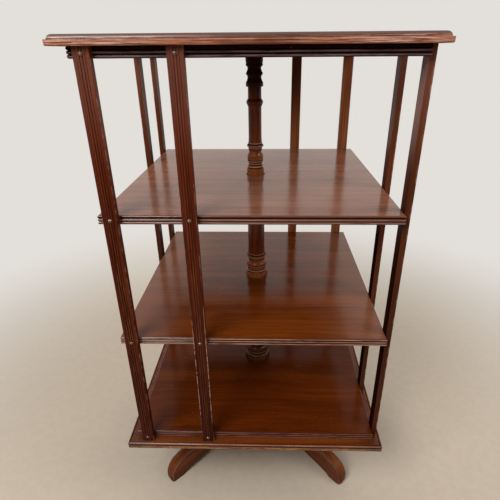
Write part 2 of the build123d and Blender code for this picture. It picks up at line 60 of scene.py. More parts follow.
# Near-black for the frieze and the column's top, in the top board's shadow: painted shade, with
# dirt.
SHADE_AND_DIRT_MAHOGANY = ((0.0070, 0.0045, 0.0055), (0.0430, 0.0220, 0.0340), (0.074, 0.038, 0.056))

# Wear, dust and dirt, and the colours of painted highlights, sheen and shade laid with them
WORN_AND_LIT_WOOD = (0.42, 0.24, 0.17)
RUBBED_AND_LIT_WOOD = (0.64, 0.42, 0.34)
RUBBED_AND_LIT_EDGE = (0.42, 0.19, 0.14)
GOLDEN_WOOD = (0.40, 0.20, 0.080)
CREST_WOOD = (0.30, 0.11, 0.045)
PALE_CREST = (0.30, 0.19, 0.22)
PINK_WOOD = (0.36, 0.235, 0.205)
ARRIS_GREY_BROWN = (0.080, 0.056, 0.045)
# Dirt and dark joints, and painted shade in grooves, quirks, reed valleys, corners and side slats'
# inner faces
DIRT_AND_SHADE = (0.0060, 0.0032, 0.0028)

# Tints that the colour is multiplied by: the upper shelf's two planks, and painted shade on a
# slat's left and painted light on its right
FRONT_PLANK, BACK_PLANK = (0.90, 0.92, 0.97), (1.06, 1.02, 0.98)
SLAT_LEFT, SLAT_RIGHT = (0.88, 0.75, 0.85), (1.18, 1.15, 0.90)

# The figure of the wood, in cycles per metre along and across its grain
SWAY, BANDS, STREAKS = (2.6, 5.0), (1.1, 34.0), (3.5, 165.0)
FIBRES, PORES, RIPPLE = (17.0, 900.0), (70.0, 2400.0), (5.0, 30.0)
CLOUDS, HAZE = 6.0, 22.0                 # cycles per metre in every direction
SWAY_REACH = 0.045
BAND_SHARE, STREAK_SHARE, FIBRE_SHARE = 0.46, 0.36, 0.18
TONE_STOPS = (0.34, 0.50, 0.68)          # levels of the figure at which it takes each tone
PORE_LEVELS, PORE_SHARE = (0.60, 0.74), 0.55
CLOUD_LEVELS, CLOUD_SHARE = (0.35, 0.75), 0.35
RIPPLE_DEPTH, FIBRE_DEPTH = 0.0003, 0.00004
X_GRAIN, UPRIGHT_GRAIN = (1, 0, 0), (0, 0, 1)
SEED_SHIFTS = (1.37, 0.71, 0.43)         # how far a seed of one shifts the figure

# Its polish: how haze roughens it, how much an underside lacks, and where a view is glancing
HAZE_LEVELS, HAZE_ROUGHNESS = (0.3, 0.75), 0.09
UNDERSIDE = (-0.95, -0.80)               # upward part of the normal
PLANED_SHEEN_LOSS, PLANED_ROUGHNESS = 0.9, 0.35
GLANCING_VIEW = (0.45, 0.90)

# What the materials follow on the boards. Halves are distances from the column's axis to the
# sides, heights are over a board's underside and depths under its top face. In a pair the mark
# begins at the first and is full at the second, or is full and then ends.
TOP_HALF = 0.305
TOP_EDGE = (TOP_HALF - 0.0120, TOP_HALF - 0.0095)
TOP_GROOVE_END = (TOP_HALF - 0.0045, TOP_HALF - 0.0030)
TOP_GROOVE_HEIGHTS = ((0.0084, 0.0089), (0.0094, 0.0104))
TOP_RIM_HEIGHT = 0.0078
TOP_OVOLO_HEIGHTS = (0.0088, 0.0094)
TOP_WORN_HEIGHTS = (0.0105, 0.0130)
TOP_ARRIS_DEPTHS = (0.0040, 0.0032)
BOARD_HALF = 0.283
REEDED_SIDE = (BOARD_HALF - 0.0030, BOARD_HALF - 0.0026)
REED_VALLEYS = (BOARD_HALF - 0.0013, BOARD_HALF - 0.0006)
REED_CRESTS = (BOARD_HALF - 0.0004, BOARD_HALF - 0.0001)
REED_DEPTHS = (0.0028, 0.0035)
FIRST_VALLEY_DEPTH = 0.0045
BASE_HALF = 0.3035
BASE_EDGE = (BASE_HALF - 0.0060, BASE_HALF - 0.0056)
BASE_QUIRK = BASE_HALF - 0.0044
BASE_QUIRK_HEIGHT = 0.0122
BASE_BEAD = (BASE_HALF - 0.0026, BASE_HALF - 0.0016)
BASE_BEAD_HEIGHT = 0.0176
BASE_SIDE = (BASE_HALF - 0.0016, BASE_HALF - 0.0011)
BASE_BAND_HEIGHTS = (0.0095, 0.0105)
# Painted shadow towards the base board's corners
BASE_CORNERS = (0.22, 0.29)

# What they follow on the slats: distances from the axis, or from the middle of the slat
SLAT_INNER_FACE = (BOARD_HALF + 0.0002, BOARD_HALF + 0.0006)
SLAT_HALF_FACE = 0.296
SLAT_FACE = (SLAT_HALF_FACE - 0.0035, SLAT_HALF_FACE - 0.0028)
SLAT_VALLEYS = (SLAT_HALF_FACE - 0.0018, SLAT_HALF_FACE - 0.0007)
SLAT_CRESTS = (SLAT_HALF_FACE - 0.0004, SLAT_HALF_FACE - 0.0001)
SLAT_REEDS = (0.0069, 0.0073)
SLAT_CHIPS = (0.0118, 0.0124)
SLAT_ARRIS = (0.0122, 0.0132)
SLAT_EDGES = (0.0134, 0.0137)

# On the legs: distances from the middle plane
LEG_RUBBED_AND_LIT_LINE, LEG_QUIRK, LEG_BEAD = 0.0081, 0.0099, 0.0127

# On the column: where each stage starts, and how much higher its foot's rim and its neck lie than
# those of the stage below; then heights over the rim and over the neck, among them where the
# painted light at a stage's foot ends, and where the painted shadow of the top board begins.
COLUMN_STAGES = ((-1.0, 0.250, 0.290), (0.505, 0.281, 0.279), (0.7825, 0.2815, 0.2885))
FOOT_GROOVES, FOOT_CRESTS = (0.0046, 0.0122, 0.0189, 0.0237), (0.0082, 0.0152, 0.0213)
NECK_GROOVES, NECK_CRESTS = (0.0048, 0.0095, 0.0164), (0.0072, 0.0120, 0.0187)
FOOT_END = (0.030, 0.060)
COLUMN_SHADOW = (0.94, 1.03)

# How single slats differ from the rest; slat_material says what the words mean
SLAT_LOOKS = {
    "front_corner_slat": {"light_under_top": 0.55, "foot_share": 0.95},
    "front_inner_slat": {"chipped": 0.9},
    "right_inner_slat": {"pale_edge": 0.75},
    "back_corner_slat": {"light_under_top": 0.55},
    "left_corner_slat": {"dark_to": 0.65},
    "left_inner_slat": {"dark_to": 0.65},
}

LEG_TURNS = {"back_right": 45, "back_left": 135, "front_left": 225, "front_right": 315}

# Metals: how metallic, the tarnish's scale and limits, clean and tarnished colour, roughness when
# clean and what tarnish adds to it
METALS = {
    "brass": (1.0, (420.0, 0.35, 0.65), (0.28, 0.215, 0.160), (0.10, 0.072, 0.052), 0.42, 0.25),
    "iron": (0.9, (120.0, 0.40, 0.65), (0.055, 0.052, 0.05), (0.09, 0.045, 0.025), 0.45, 0.25),
    "steel": (1.0, (300.0, 0.35, 0.70), (0.42, 0.41, 0.40), (0.22, 0.21, 0.20), 0.25, 0.20),
}
METAL_NODES = {
    "brass": ("frieze_slat_screws", "upper_slat_screws", "middle_slat_screws",
              "bottom_slat_screws", "bearing_ring"),
    "iron": ("socket_plate", "guide_plate", "cross_plate"),
    "steel": ("top_board_screws", "base_board_screws", "socket_plate_screws",
              "guide_plate_screws", "cross_plate_screws", "pivot_pin"),
}

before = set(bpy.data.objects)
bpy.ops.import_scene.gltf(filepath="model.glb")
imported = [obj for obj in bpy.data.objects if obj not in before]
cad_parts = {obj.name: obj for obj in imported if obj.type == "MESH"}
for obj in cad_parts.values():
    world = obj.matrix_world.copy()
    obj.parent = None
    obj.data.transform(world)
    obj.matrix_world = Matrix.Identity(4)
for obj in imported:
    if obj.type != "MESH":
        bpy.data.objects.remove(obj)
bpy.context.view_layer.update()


def place_camera():
    camera = bpy.data.objects.new("camera", bpy.data.cameras.new("camera"))
    bpy.context.scene.collection.objects.link(camera)
    forward = Vector((math.sin(CAMERA_YAW) * math.cos(CAMERA_PITCH),
                      math.cos(CAMERA_YAW) * math.cos(CAMERA_PITCH),
                      -math.sin(CAMERA_PITCH)))
    level = Vector((math.cos(CAMERA_YAW), -math.sin(CAMERA_YAW), 0))
    up = level.cross(forward)
    right = level * math.cos(CAMERA_ROLL) + up * math.sin(CAMERA_ROLL)
    up = up * math.cos(CAMERA_ROLL) - level * math.sin(CAMERA_ROLL)
    turn = Matrix((right, up, -forward)).transposed().to_4x4()
    camera.matrix_world = Matrix.Translation(CAMERA_PLACE) @ turn
    camera.data.lens = CAMERA_LENS
    camera.data.sensor_width = SENSOR_WIDTH
    camera.data.shift_x, camera.data.shift_y = CAMERA_SHIFT
    bpy.context.scene.camera = camera


# Node trees
class Surface:
    """A material with a Principled shader, and short calls that add nodes to it."""

    def __init__(self, name, **constants):
        self.material = bpy.data.materials.new(name)
        self.material.use_nodes = True
        self.tree = self.material.node_tree
        self.tree.nodes.clear()
        self.shader = self.tree.nodes.new("ShaderNodeBsdfPrincipled")
        self.output = self.tree.nodes.new("ShaderNodeOutputMaterial")
        self.tree.links.new(self.shader.outputs[0], self.output.inputs["Surface"])
        self.shade(**constants)

    def set(self, node, socket, value):
        if isinstance(value, bpy.types.NodeSocket):
            self.tree.links.new(value, node.inputs[socket])
        elif value is not None:
            node.inputs[socket].default_value = value

    def add(self, kind, sockets=None, **settings):
        node = self.tree.nodes.new(kind)
        for name, value in settings.items():
            setattr(node, name, value)
        for name, value in (sockets or {}).items():
            self.set(node, name, value)
        return node

    def shade(self, **sockets):
        for name, value in sockets.items():
            self.set(self.shader, name.replace("_", " "), value)

    def math(self, operation, *values):
        return self.add("ShaderNodeMath", dict(enumerate(values)), operation=operation).outputs[0]

    def times(self, product, *values):
        """The product of masks and shares."""
        for value in values:
            product = self.math("MULTIPLY", product, value)
        return product

    def where(self):
        """Object coordinates, in metres."""
        return self.add("ShaderNodeTexCoord").outputs["Object"]

    def place(self):
        """Object coordinates as three values."""
        parts = self.add("ShaderNodeSeparateXYZ", {0: self.where()})
        return parts.outputs[0], parts.outputs[1], parts.outputs[2]

    def combine(self, x, y, z):
        return self.add("ShaderNodeCombineXYZ", {0: x, 1: y, 2: z}).outputs[0]

    def noise(self, vector, scale=1.0, detail=2.0, roughness=0.5):
        return self.add("ShaderNodeTexNoise", {
            "Vector": vector, "Scale": scale, "Detail": detail, "Roughness": roughness,
        }).outputs["Fac"]

    def rise(self, value, low, high, to_low=0.0, to_high=1.0):
        """Smoothly from to_low to to_high while value goes from low to high."""
        return self.add("ShaderNodeMapRange", {
            "Value": value, "From Min": low, "From Max": high, "To Min": to_low, "To Max": to_high,
        }, interpolation_type="SMOOTHSTEP").outputs["Result"]

    def fall(self, value, low, high):
        """Smoothly from 1 to 0 while value goes from low to high."""
        return self.rise(value, low, high, 1.0, 0.0)

    def line(self, value, centre, half_width, fade):
        """1 within half a width of the centre, fading out over a further distance."""
        apart = self.math("ABSOLUTE", self.math("SUBTRACT", value, centre))
        return self.fall(apart, half_width, half_width + fade)

    def lines(self, value, centres, half_width, fade):
        """1 at any of several centres."""
        found = 0.0
        for centre in centres:
            found = self.math("MAXIMUM", found, self.line(value, centre, half_width, fade))
        return found

    def mottle(self, scale, low, high):
        """Patches of wear, of tarnish, and breaks in the legs' painted highlights, which begin
        where the noise is low and are full at high.
        """
        patches = self.noise(self.where(), scale=scale, detail=4.0, roughness=0.65)
        return self.rise(patches, low, high)

    def ramp(self, value, positions, tones):
        node = self.add("ShaderNodeValToRGB", {0: value})
        stops = node.color_ramp.elements
        while len(stops) < len(tones):
            stops.new(0.5)
        for stop, position, tone in zip(stops, positions, tones):
            stop.position = position
            stop.color = (*tone, 1)
        return node.outputs[0]

    def mix(self, share, first, second, blend="MIX"):
        node = self.add("ShaderNodeMix", data_type="RGBA", blend_type=blend)
        self.set(node, 0, share)
        for socket, tone in ((6, first), (7, second)):
            self.set(node, socket, tone if isinstance(tone, bpy.types.NodeSocket) else (*tone, 1))
        return node.outputs[2]

    def bump(self, height, distance, strength, normal=None):
        return self.add("ShaderNodeBump", {
            "Height": height, "Distance": distance, "Strength": strength, "Normal": normal,
        }).outputs[0]


# Wood
class Mahogany(Surface):
    """French-polished mahogany, and calls that lay wear, dirt and painted light and shade over its
    colour.

    The grain runs in the direction given, and the seed shifts its figure. polish is the lowest
    roughness, and streak how strongly the figure shows. glancing is the share of the sheen that
    old polish keeps where it is seen edge on. Undersides were planed and never polished."""

    def __init__(self, name, tones, direction, seed, polish=0.22, sheen=0.5, glancing=1.0,
                 streak=1.0):
        super().__init__(name)
        normal = self.add("ShaderNodeNewGeometry").outputs["Normal"]
        upward = self.add("ShaderNodeSeparateXYZ", {0: normal}).outputs[2]
        planed = self.fall(upward, *UNDERSIDE)
        self.sheen = self.math("MULTIPLY_ADD", planed, -PLANED_SHEEN_LOSS * sheen, sheen)
        if glancing < 1:
            facing = self.add("ShaderNodeLayerWeight", {"Blend": 0.5}).outputs["Facing"]
            self.sheen = self.times(self.sheen, self.rise(facing, *GLANCING_VIEW, 1.0, glancing))

        grain = self.follow_grain(direction, seed)
        along, side, depth = grain
        sway = self.noise(self.stretched(grain, *SWAY))
        sway = self.math("MULTIPLY_ADD", sway, SWAY_REACH, -SWAY_REACH / 2)
        swayed = (along, self.math("ADD", side, sway), self.math("ADD", depth, sway))
        bands = self.noise(self.stretched(swayed, *BANDS), detail=3.0)
        streaks = self.noise(self.stretched(swayed, *STREAKS), detail=4.0, roughness=0.6)
        fibres = self.noise(self.stretched(swayed, *FIBRES))
        figure = self.times(bands, BAND_SHARE)
        figure = self.math("MULTIPLY_ADD", streaks, STREAK_SHARE, figure)
        figure = self.math("MULTIPLY_ADD", fibres, FIBRE_SHARE, figure)
        figure = self.math("MULTIPLY_ADD", self.math("SUBTRACT", figure, 0.5), streak, 0.5)
        self.colour = self.ramp(figure, TONE_STOPS, tones)
        pores = self.noise(self.stretched(swayed, *PORES), detail=1.0)
        pores = self.rise(pores, *PORE_LEVELS)
        self.lay(tones[0], pores, PORE_SHARE)
        clouds = self.noise(self.combine(*grain), scale=CLOUDS, detail=3.0)
        self.lay(tones[1], self.rise(clouds, *CLOUD_LEVELS, 0.0, CLOUD_SHARE))

        haze = self.noise(self.combine(*grain), scale=HAZE, detail=4.0, roughness=0.6)
        haze = self.rise(haze, *HAZE_LEVELS, polish, polish + HAZE_ROUGHNESS)
        ripple = self.noise(self.stretched(swayed, *RIPPLE), detail=1.0)
        ripple = self.bump(ripple, RIPPLE_DEPTH, 0.35)
        relief = self.math("MULTIPLY_ADD", pores, -0.6, fibres)
        self.shade(Roughness=self.math("MULTIPLY_ADD", planed, PLANED_ROUGHNESS, haze),
                   Normal=self.bump(relief, FIBRE_DEPTH, 0.5, ripple))

    def follow_grain(self, direction, seed):
        """A coordinate along the grain and two across it, shifted by the seed."""
        x, y, z = self.place()
        along_x, along_y, along_z = direction
        along = self.times(x, along_x)
        along = self.math("MULTIPLY_ADD", y, along_y, along)
        along = self.math("MULTIPLY_ADD", z, along_z, along)
        if along_z > 0.5:
            across = (x, y)
        else:
            across = (self.math("MULTIPLY_ADD", y, along_x, self.times(x, -along_y)), z)
        return [self.math("ADD", part, seed * shift)
                for part, shift in zip((along, *across), SEED_SHIFTS)]

    def stretched(self, parts, along, across):
        """These coordinates in cycles per metre along and across the grain."""
        scales = (along, across, across)
        return self.combine(*(self.times(part, scale) for part, scale in zip(parts, scales)))

    def outwards(self):
        """How far out a point lies from the axis, towards the nearest side of the square case."""
        x, y, _ = self.place()
        return self.math("MAXIMUM", self.math("ABSOLUTE", x), self.math("ABSOLUTE", y))

    def height_over(self, board):
        """Height over a board's underside."""
        low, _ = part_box(board)
        _, _, z = self.place()
        return self.math("SUBTRACT", z, low.z)

    def depth_under(self, board):
        """Depth under a board's top face."""
        _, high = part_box(board)
        _, _, z = self.place()
        return self.math("SUBTRACT", high.z, z)

    def wear_and_highlight_streaks(self, along, across, low, high):
        """Short streaks that run round the case, level with the boards, for wear and painted
        highlights.

        along and across are its cycles per metre; it begins where the noise is low and is full
        where it is high."""
        x, y, z = self.place()
        streaks = self.noise(self.combine(self.times(self.math("ADD", x, y), along),
                                          self.times(self.outwards(), across),
                                          self.times(z, across)), detail=4.0, roughness=0.65)
        return self.rise(streaks, low, high)

    def lay(self, tone, *shares):
        """Lay a tone over the colour, by the product of the shares."""
        self.colour = self.mix(self.times(*shares), self.colour, tone)

    def tint(self, tone, share=1.0):
        """Multiply the colour by a tone."""
        self.colour = self.mix(share, self.colour, tone, blend="MULTIPLY")

    def tint_by_height(self, low_share, low, high):
        """Multiply the colour by low_share below the height low, less and less up to high; on the
        slats and the column this is painted shade and light.
        """
        _, _, z = self.place()
        share = self.rise(z, low, high, low_share, 1.0)
        self.tint(self.combine(share, share, share))

    def finish(self, dulled=None):
        """Shade with the colour and the sheen; where dirt has settled and painted shade lies, the
        polish doesn't shine.
        """
        if dulled is not None:
            self.sheen = self.times(self.sheen, self.math("SUBTRACT", 1.0, dulled))
        self.shade(Base_Color=self.colour, Specular_IOR_Level=self.sheen)
        return self.material


def top_material():
    """Brown above; the moulded edge takes paler tones, is rubbed in streaks and darker in the
    middle, and paler towards the ends, with wear and painted light.
    """
    wood = Mahogany("top_mahogany", SHELF_MAHOGANY, X_GRAIN, seed=3.1, polish=0.24, sheen=0.32,
                    glancing=0.4)
    x, _, _ = wood.place()
    out = wood.outwards()
    height, depth = wood.height_over("top_board"), wood.depth_under("top_board")
    edge = wood.rise(out, *TOP_EDGE)
    paler = wood.ramp(wood.wear_and_highlight_streaks(9.0, 420.0, 0.30, 0.70), (0.0, 0.5, 1.0), TOP_MAHOGANY)
    wood.lay(paler, edge, 0.9)
    wood.lay(RED_MAHOGANY[1], edge, wood.line(x, 0.02, 0.045, 0.05), 0.6)
    wood.lay(RED_MAHOGANY[1], edge, wood.rise(height, *TOP_OVOLO_HEIGHTS), 0.65)
    wood.lay(RED_MAHOGANY[0], edge, wood.wear_and_highlight_streaks(16.0, 620.0, 0.60, 0.42), 0.55)
    # Worn pale in streaks, more towards the ends: wear, and painted light on the ends.
    worn = wood.times(edge, wood.wear_and_highlight_streaks(26.0, 1300.0, 0.48, 0.60),
                      wood.rise(height, *TOP_WORN_HEIGHTS, 1.0, 0.3))
    wood.lay(RUBBED_AND_LIT_WOOD, worn, wood.rise(wood.math("ABSOLUTE", x), 0.06, 0.24, 0.15, 0.70))
    # A dark grey-brown band on the arris.
    wood.lay(ARRIS_GREY_BROWN, edge, wood.rise(depth, *TOP_ARRIS_DEPTHS), 0.8)
    rim = wood.line(height, TOP_RIM_HEIGHT, 0.0005, 0.0008)
    wood.lay(WORN_AND_LIT_WOOD, rim, edge, wood.wear_and_highlight_streaks(14.0, 150.0, 0.38, 0.62), 0.7)
    groove_low, groove_high = TOP_GROOVE_HEIGHTS
    groove = wood.times(wood.rise(height, *groove_low), wood.fall(height, *groove_high),
                        wood.fall(out, *TOP_GROOVE_END), edge, 0.8)
    wood.lay(DIRT_AND_SHADE, groove)
    return wood.finish(groove)


def reeded_board_material(name, board, tones, seed, dirt_and_shade=0.85, wear=0.4, rubbed_and_lit=WORN_AND_LIT_WOOD,
                          first_valley=0.0017, rubbed_and_lit_from=0.0067, dusty=0.0, joint=None,
                          **polish):
    """A shelf or the frieze board, with dirt and painted shade between its reeds, and its crests
    worn pale with painted highlights.

    dirt and wear say how much, and rubbed in what colour. first_valley is half the height of the
    painted dark line under the top reed, and rubbed_and_lit_from the depth from which the crests
    are worn and lit.
    dusty is how much dust lies on the ends, and joint where, from front to back, the two planks
    of a shelf meet."""
    wood = Mahogany(name, tones, X_GRAIN, seed, **polish)
    x, y, _ = wood.place()
    out = wood.outwards()
    depth = wood.depth_under(board)
    if joint is not None:
        plank = wood.rise(y, joint - 0.0002, joint + 0.0002)
        wood.tint(wood.mix(plank, FRONT_PLANK, BACK_PLANK))
        wood.lay(DIRT_AND_SHADE, wood.line(y, joint, 0.0002, 0.0004), 0.6)
    if dusty:
        wood.lay(WORN_AND_LIT_WOOD, wood.rise(wood.math("ABSOLUTE", x), 0.12, 0.28, 0.0, dusty))
    side = wood.rise(out, *REEDED_SIDE)
    wood.lay(RED_MAHOGANY[0], side, 0.5)
    # Dirt and painted shade in the reed valleys, and a painted dark line under the top reed.
    valleys = wood.times(wood.fall(out, *REED_VALLEYS), side, wood.rise(depth, *REED_DEPTHS))
    first = wood.times(side, wood.line(depth, FIRST_VALLEY_DEPTH, first_valley, 0.0005))
    valleys = wood.math("MAXIMUM", valleys, first)
    wood.lay(DIRT_AND_SHADE, valleys, dirt_and_shade)
    # Crests worn pale, with painted highlights.
    crests = wood.times(wood.rise(out, *REED_CRESTS), wood.wear_and_highlight_streaks(18.0, 300.0, 0.30, 0.62),
                        wood.rise(depth, rubbed_and_lit_from - 0.0003, rubbed_and_lit_from + 0.0003))
    wood.lay(rubbed_and_lit, crests, wear)
    specks = wood.rise(wood.noise(wood.where(), scale=260.0, detail=1.0), 0.735, 0.765)
    wood.lay(WORN_AND_LIT_WOOD, specks, wood.mottle(9.0, 0.45, 0.60), 0.35)
    return wood.finish(valleys)


def base_board_material():
    """Dirt and painted shade in the quirk, painted shadow towards the corners; the bead is rubbed,
    with a painted highlight, and the plain band worn golden.
    """
    wood = Mahogany("base_board_mahogany", SHELF_MAHOGANY, X_GRAIN, seed=8.6, glancing=0.5)
    x, y, _ = wood.place()
    out = wood.outwards()
    height = wood.height_over("base_board")
    edge = wood.rise(out, *BASE_EDGE)
    # Dirt and painted shade in the quirks.
    quirk = wood.times(wood.line(out, BASE_QUIRK, 0.0009, 0.0004), edge)
    under = wood.times(wood.line(height, BASE_QUIRK_HEIGHT, 0.0008, 0.0005), edge)
    quirk = wood.times(wood.math("MAXIMUM", quirk, under), 0.8)
    wood.lay(DIRT_AND_SHADE, quirk)
    # The bead worn pale, with a painted highlight.
    bead = wood.times(wood.rise(out, *BASE_BEAD),
                      wood.line(height, BASE_BEAD_HEIGHT, 0.0005, 0.0005))
    wood.lay(RUBBED_AND_LIT_EDGE, bead, wood.wear_and_highlight_streaks(10.0, 150.0, 0.30, 0.55), 0.6)
    band = wood.times(wood.rise(out, *BASE_SIDE), wood.fall(height, *BASE_BAND_HEIGHTS))
    wood.lay(GOLDEN_WOOD, band, wood.wear_and_highlight_streaks(40.0, 260.0, 0.35, 0.62), 0.6)
    # Painted shadow towards the corners.
    corner = wood.math("MINIMUM", wood.math("ABSOLUTE", x), wood.math("ABSOLUTE", y))
    wood.lay(DIRT_AND_SHADE, wood.rise(corner, *BASE_CORNERS, 0.0, 0.4))
    return wood.finish(quirk)


def slat_material(node, across_x, seed, chipped=0.0, light_under_top=0.0, dark_to=0.95, pale_edge=0.45,
                  foot_share=0.72):
    """A slat with its grain upright; across_x says that it stands at the front or the back.

    chipped is how much bare wood its arrises show between the two lower shelves. On a front or
    back slat the inner face is painted pale above the upper shelf, as painted light thrown up off
    it, and bleached is how much of that painted light is left right under the top board. On a side
    slat the inner face is painted shade up to a height of dark_to. pale_edge is how much painted
    light lies on a side slat's edges, and foot_share how much of its colour a slat keeps towards
    its foot, under painted shade."""
    low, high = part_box(node)
    middle = (low + high) / 2
    wood = Mahogany(f"{node}_mahogany", RED_MAHOGANY, UPRIGHT_GRAIN, seed, sheen=0.06, polish=0.3,
                    glancing=0.5, streak=1.3)
    x, y, z = wood.place()
    out = wood.outwards()
    place, centre = (x, middle.x) if across_x else (y, middle.y)
    across = wood.math("SUBTRACT", place, centre)
    apart = wood.math("ABSOLUTE", across)
    face = wood.rise(out, *SLAT_FACE)
    inner = wood.fall(out, *SLAT_INNER_FACE)

    # Painted shade on the slat's left and painted light on its right.
    wood.tint(wood.mix(wood.rise(across, -0.010, 0.010), SLAT_LEFT, SLAT_RIGHT), 0.8)
    pale = wood.noise(wood.stretched((z, x, y), 6.0, 260.0), detail=4.0, roughness=0.6)
    pale = wood.ramp(pale, (0.38, 0.62), PALE_MAHOGANY)
    # Painted light on a side slat's edges.
    if not across_x:
        wood.lay(pale, wood.rise(apart, *SLAT_EDGES, 0.0, pale_edge))
    # Crests worn pale, with painted highlights, fainter towards the top.
    streaks = wood.noise(wood.combine(wood.times(across, 700.0), 0.0, wood.times(z, 16.0)),
                         detail=4.0, roughness=0.65)
    crests = wood.times(wood.rise(out, *SLAT_CRESTS), wood.rise(streaks, 0.45, 0.62))
    wood.lay(CREST_WOOD, crests, wood.rise(z, 0.65, 0.95, 0.5, 0.1))
    # Painted sheen towards the top.
    wood.lay(RUBBED_AND_LIT_WOOD, wood.rise(z, 0.86, 1.07, 0.0, 0.05))
    # Painted shade, darker downwards from the top and again towards the foot.
    wood.tint_by_height(0.76, 0.80, 0.98)
    wood.tint_by_height(foot_share, 0.35, 0.75)

    wood.lay(WORN_AND_LIT_WOOD, wood.rise(apart, *SLAT_ARRIS), face, wood.mottle(42.0, 0.46, 0.68), 0.5)
    if chipped:
        bare = wood.times(wood.rise(apart, *SLAT_CHIPS), wood.mottle(150.0, 0.43, 0.50), face)
        wood.lay(WORN_AND_LIT_WOOD, bare, wood.rise(z, 0.27, 0.33), wood.rise(z, 0.50, 0.64, chipped, 0.0))
    # Dirt and painted shade in the reed valleys, fading out towards the top.
    dirt_and_shade = wood.times(wood.fall(out, *SLAT_VALLEYS), wood.fall(apart, *SLAT_REEDS), face,
                      wood.rise(z, 0.65, 0.90, 0.5, 0.0))
    wood.lay(DIRT_AND_SHADE, dirt_and_shade)
    if across_x:
        # Painted light thrown up off the upper shelf onto the inner face.
        wood.lay(pale, inner, wood.rise(z, 0.80, 1.02, 0.85, light_under_top))
    else:
        # Painted shade on a side slat's inner face.
        dark = wood.times(inner, wood.rise(z, dark_to - 0.29, dark_to, 1.0, 0.15))
        wood.lay(DIRT_AND_SHADE, dark, 0.8)
        # Painted sheen on it near the top.
        wood.lay(PINK_WOOD, inner, wood.rise(z, 0.85, 1.00, 0.0, 0.30))
        dirt_and_shade = wood.math("MAXIMUM", dirt_and_shade, dark)
    return wood.finish(dirt_and_shade)


def column_material():
    """Painted light at the foot of each stage and over the two lower stages, painted shade low on
    the lowest one, dirt and painted shade in its grooves, painted shadow right at the top, and its
    rings rubbed, with painted highlights."""
    wood = Mahogany("column_mahogany", COLUMN_MAHOGANY, UPRIGHT_GRAIN, seed=5.3, sheen=0.28,
                    polish=0.14, glancing=0.1, streak=1.5)
    _, _, z = wood.place()
    rim, neck = 0.0, 0.0
    for start, rim_step, neck_step in COLUMN_STAGES:
        rim = wood.math("ADD", rim, wood.rise(z, start, start + 0.001, 0.0, rim_step))
        neck = wood.math("ADD", neck, wood.rise(z, start, start + 0.001, 0.0, neck_step))
    above_rim = wood.math("SUBTRACT", z, rim)
    above_neck = wood.math("SUBTRACT", z, neck)
    # Painted light at the foot of each stage.
    wood.lay(COLUMN_MAHOGANY[2], wood.fall(above_rim, *FOOT_END), 0.50)
    # Painted shade low on the lowest stage, and painted light on the two lower stages.
    wood.tint_by_height(0.38, 0.30, 0.50)
    wood.tint_by_height(1.25, 0.62, 0.80)
    # Rings worn pale, with painted highlights.
    crests = wood.math("MAXIMUM", wood.lines(above_rim, FOOT_CRESTS, 0.0006, 0.0007),
                       wood.lines(above_neck, NECK_CRESTS, 0.0006, 0.0007))
    wood.lay(WORN_AND_LIT_WOOD, crests, 0.85)
    # Dirt and painted shade in the grooves.
    grooves = wood.math("MAXIMUM", wood.lines(above_rim, FOOT_GROOVES, 0.0006, 0.0006),
                        wood.lines(above_neck, NECK_GROOVES, 0.0006, 0.0006))
    wood.lay(DIRT_AND_SHADE, grooves, 0.95)
    # Painted shadow of the top board at the column's top.
    dark = wood.rise(z, *COLUMN_SHADOW, 0.0, 0.88)
    wood.lay(SHADE_AND_DIRT_MAHOGANY[0], dark)
    return wood.finish(wood.math("MAXIMUM", grooves, dark))


def leg_material(name, turn, seed):
    """Grain along the leg, dirt and painted shade in its quirks, a rubbed line with a painted
    highlight on each side of them, and darker towards the toe.
    """
    wood = Mahogany(name, LEG_MAHOGANY, (math.cos(turn), math.sin(turn), 0), seed, sheen=0.15,
                    polish=0.2, glancing=0.2)
    x, y, z = wood.place()
    aside = wood.math("MULTIPLY_ADD", y, math.cos(turn), wood.times(x, -math.sin(turn)))
    aside = wood.math("ABSOLUTE", aside)
    # Dirt and painted shade in the quirks.
    quirk = wood.line(aside, LEG_QUIRK, 0.0006, 0.0004)
    wood.lay(DIRT_AND_SHADE, quirk, 0.9)
    # Worn lines with painted highlights beside the quirks, faint near the floor.
    rubbed_and_lit = wood.math("MAXIMUM", wood.line(aside, LEG_BEAD, 0.0008, 0.0006),
                       wood.line(aside, LEG_RUBBED_AND_LIT_LINE, 0.0005, 0.0005))
    # Darker towards the toe.
    wood.tint_by_height(0.65, 0.010, 0.055)
    wood.lay(RUBBED_AND_LIT_WOOD, rubbed_and_lit, wood.mottle(30.0, 0.30, 0.50),
             wood.rise(z, 0.055, 0.090, 0.12, 1.0))
    return wood.finish(quirk)


def metal_material(name):
    metallic, patches, clean, tarnished, roughness, rougher = METALS[name]
    surface = Surface(name, Metallic=metallic)
    tarnish = surface.mottle(*patches)
    surface.shade(Base_Color=surface.mix(tarnish, clean, tarnished),
                  Roughness=surface.math("MULTIPLY_ADD", tarnish, rougher, roughness))
    return surface.material


def paint(node, material):
    """Give a CAD node this material in place of its plain one."""
    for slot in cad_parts[node].material_slots:
        slot.material = material


